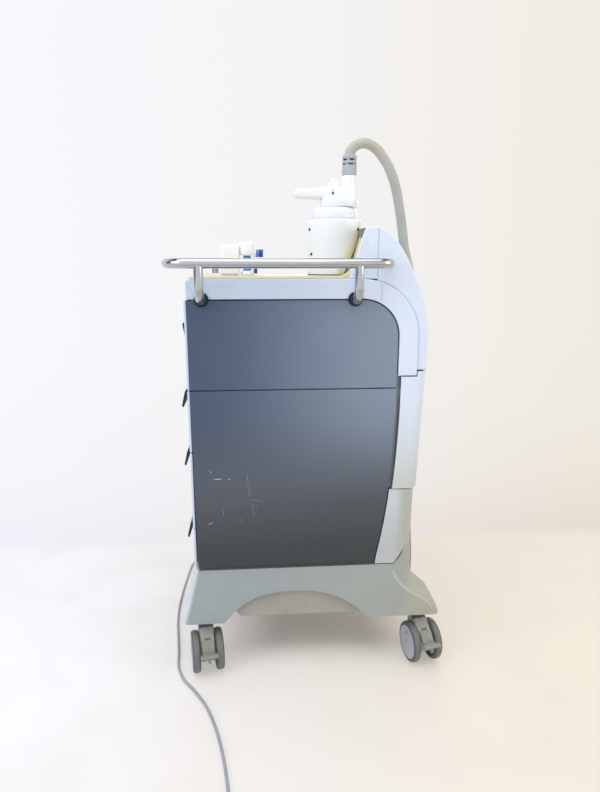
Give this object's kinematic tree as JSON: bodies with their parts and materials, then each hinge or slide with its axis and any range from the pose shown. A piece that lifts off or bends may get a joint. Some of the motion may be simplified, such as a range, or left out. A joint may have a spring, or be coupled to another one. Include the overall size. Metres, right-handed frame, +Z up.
{
  "type": "ultrasound machine",
  "caption": "Mobile treatment ultrasound cart with drawers, steel handrail, leaning touch screen, docked treatment head on a thick hose, and twin-wheel braked casters.",
  "frame": {"origin": "centre of the bottom of the box of the part without its free hose and mains cord, on the floor", "axes": "+Z up, +X towards the rear hood, -X towards the drawer fronts, -Y towards the side seen in the picture"},
  "size_m": [0.6824, 1.1253, 1.2482],
  "materials": {
    "base": "satin moulded, sage grey",
    "slate": "satin, slate blue-grey",
    "shell": "satin, pale blue-grey",
    "worktop": "satin, cream",
    "white": "gloss, white",
    "black": "matte, black",
    "grey": "matte, mid grey",
    "rail": "stainless, fine satin",
    "hose": "matte, warm grey",
    "cord": "matte, light grey",
    "tyre": "non-marking grey tread",
    "screen": "dark glass, switched off",
    "sheet": "plain sheet, satin"
  },
  "bodies": {
    "cabinet": {"base_skirt": "base", "belly_pan": "base", "chassis": "sheet", "right_upper_panel": "slate", "right_lower_panel": "slate", "left_upper_panel": "slate", "left_lower_panel": "slate", "upper_shell": "shell", "display_housing": "shell", "rear_hood": "shell", "worktop": "worktop", "touch_screen": "screen", "rear_wing_cover": "shell", "lower_rear_cover": "shell", "handrail": "rail", "dock_cup": "white", "hose": "hose", "hose_gland": "grey", "fan_frame": "black", "generator_module": "sheet", "power_supply": "sheet", "transducer_cartridge": "white", "strain_relief": "black", "mains_cord": "cord", "cord_coil": "cord", "mains_plug": "grey"},
    "switch": {"mains_switch": "black"},
    "drawer_1": {"drawer_1_front": "shell", "drawer_1_tray": "sheet", "drawer_1_pull": "black"},
    "drawer_2": {"drawer_2_front": "shell", "drawer_2_tray": "sheet", "drawer_2_pull": "black"},
    "drawer_3": {"drawer_3_front": "shell", "drawer_3_tray": "sheet", "drawer_3_pull": "black"},
    "drawer_4": {"drawer_4_front": "shell", "drawer_4_tray": "sheet", "drawer_4_pull": "black"},
    "head": {"head_can": "white", "head_handle": "white", "hose_boot": "grey"},
    "button": {"head_button": "white"},
    "impeller": {"fan_impeller": "black"},
    "front_right_swivel": {"front_right_caster_fork": "slate"},
    "front_right_inner_wheel": {"front_right_caster_wheel_b": "tyre"},
    "front_right_outer_wheel": {"front_right_caster_wheel_a": "tyre"},
    "front_right_brake": {"front_right_caster_pedal": "grey"},
    "front_left_swivel": {"front_left_caster_fork": "slate"},
    "front_left_inner_wheel": {"front_left_caster_wheel_a": "tyre"},
    "front_left_outer_wheel": {"front_left_caster_wheel_b": "tyre"},
    "front_left_brake": {"front_left_caster_pedal": "grey"},
    "rear_right_swivel": {"rear_right_caster_fork": "slate"},
    "rear_right_inner_wheel": {"rear_right_caster_wheel_a": "tyre"},
    "rear_right_outer_wheel": {"rear_right_caster_wheel_b": "tyre"},
    "rear_right_brake": {"rear_right_caster_pedal": "grey"},
    "rear_left_swivel": {"rear_left_caster_fork": "slate"},
    "rear_left_inner_wheel": {"rear_left_caster_wheel_b": "tyre"},
    "rear_left_outer_wheel": {"rear_left_caster_wheel_a": "tyre"},
    "rear_left_brake": {"rear_left_caster_pedal": "grey"}
  },
  "joints": [
    {"name": "drawer_1_slide", "type": "slide", "parent": "cabinet", "child": "drawer_1", "axis": [-1, 0, 0], "range_m": [0, 0.3]},
    {"name": "drawer_2_slide", "type": "slide", "parent": "cabinet", "child": "drawer_2", "axis": [-1, 0, 0], "range_m": [0, 0.3]},
    {"name": "drawer_3_slide", "type": "slide", "parent": "cabinet", "child": "drawer_3", "axis": [-1, 0, 0], "range_m": [0, 0.3]},
    {"name": "drawer_4_slide", "type": "slide", "parent": "cabinet", "child": "drawer_4", "axis": [-1, 0, 0], "range_m": [0, 0.3]},
    {"name": "head_lift", "type": "slide", "parent": "cabinet", "child": "head", "axis": [0, 0, 1], "range_m": [0, 0.15], "deforming": ["hose"]},
    {"name": "button_press", "type": "slide", "parent": "head", "child": "button", "axis": [0, 0, -1], "range_m": [0, 0.0025], "stiffness_N_per_m": 400, "springref_m": -0.0015},
    {"name": "mains_rocker", "type": "hinge", "parent": "cabinet", "child": "switch", "pos_m": [0.234, -0.06, 0.385], "axis": [0, 1, 0], "range_deg": [-6, 6]},
    {"name": "fan_spin", "type": "hinge", "parent": "cabinet", "child": "impeller", "pos_m": [0.2173, -0.125, 0.385], "axis": [1, 0, 0], "continuous": true},
    {"name": "front_right_swivel_turn", "type": "hinge", "parent": "cabinet", "child": "front_right_swivel", "pos_m": [-0.265, -0.175, 0.131], "axis": [0, 0, 1], "continuous": true},
    {"name": "front_right_outer_roll", "type": "hinge", "parent": "front_right_swivel", "child": "front_right_outer_wheel", "pos_m": [-0.26031, -0.20159, 0.04938], "axis": [0.9848, 0.1736, 0], "continuous": true},
    {"name": "front_right_inner_roll", "type": "hinge", "parent": "front_right_swivel", "child": "front_right_inner_wheel", "pos_m": [-0.26031, -0.20159, 0.04938], "axis": [0.9848, 0.1736, 0], "continuous": true},
    {"name": "front_right_pedal", "type": "hinge", "parent": "front_right_swivel", "child": "front_right_brake", "pos_m": [-0.25666, -0.22227, 0.084], "axis": [0.9848, 0.1736, 0], "range_deg": [0, 12]},
    {"name": "front_left_swivel_turn", "type": "hinge", "parent": "cabinet", "child": "front_left_swivel", "pos_m": [-0.265, 0.175, 0.131], "axis": [0, 0, 1], "continuous": true},
    {"name": "front_left_outer_roll", "type": "hinge", "parent": "front_left_swivel", "child": "front_left_outer_wheel", "pos_m": [-0.26031, 0.20159, 0.04938], "axis": [-0.9848, 0.1736, 0], "continuous": true},
    {"name": "front_left_inner_roll", "type": "hinge", "parent": "front_left_swivel", "child": "front_left_inner_wheel", "pos_m": [-0.26031, 0.20159, 0.04938], "axis": [-0.9848, 0.1736, 0], "continuous": true},
    {"name": "front_left_pedal", "type": "hinge", "parent": "front_left_swivel", "child": "front_left_brake", "pos_m": [-0.25666, 0.22227, 0.084], "axis": [-0.9848, 0.1736, 0], "range_deg": [0, 12]},
    {"name": "rear_right_swivel_turn", "type": "hinge", "parent": "cabinet", "child": "rear_right_swivel", "pos_m": [0.268, -0.175, 0.131], "axis": [0, 0, 1], "continuous": true},
    {"name": "rear_right_outer_roll", "type": "hinge", "parent": "rear_right_swivel", "child": "rear_right_outer_wheel", "pos_m": [0.27269, -0.20159, 0.04938], "axis": [0.9848, 0.1736, 0], "continuous": true},
    {"name": "rear_right_inner_roll", "type": "hinge", "parent": "rear_right_swivel", "child": "rear_right_inner_wheel", "pos_m": [0.27269, -0.20159, 0.04938], "axis": [0.9848, 0.1736, 0], "continuous": true},
    {"name": "rear_right_pedal", "type": "hinge", "parent": "rear_right_swivel", "child": "rear_right_brake", "pos_m": [0.27634, -0.22227, 0.084], "axis": [0.9848, 0.1736, 0], "range_deg": [0, 12]},
    {"name": "rear_left_swivel_turn", "type": "hinge", "parent": "cabinet", "child": "rear_left_swivel", "pos_m": [0.268, 0.175, 0.131], "axis": [0, 0, 1], "continuous": true},
    {"name": "rear_left_outer_roll", "type": "hinge", "parent": "rear_left_swivel", "child": "rear_left_outer_wheel", "pos_m": [0.27269, 0.20159, 0.04938], "axis": [-0.9848, 0.1736, 0], "continuous": true},
    {"name": "rear_left_inner_roll", "type": "hinge", "parent": "rear_left_swivel", "child": "rear_left_inner_wheel", "pos_m": [0.27269, 0.20159, 0.04938], "axis": [-0.9848, 0.1736, 0], "continuous": true},
    {"name": "rear_left_pedal", "type": "hinge", "parent": "rear_left_swivel", "child": "rear_left_brake", "pos_m": [0.27634, 0.22227, 0.084], "axis": [-0.9848, 0.1736, 0], "range_deg": [0, 12]}
  ]
}
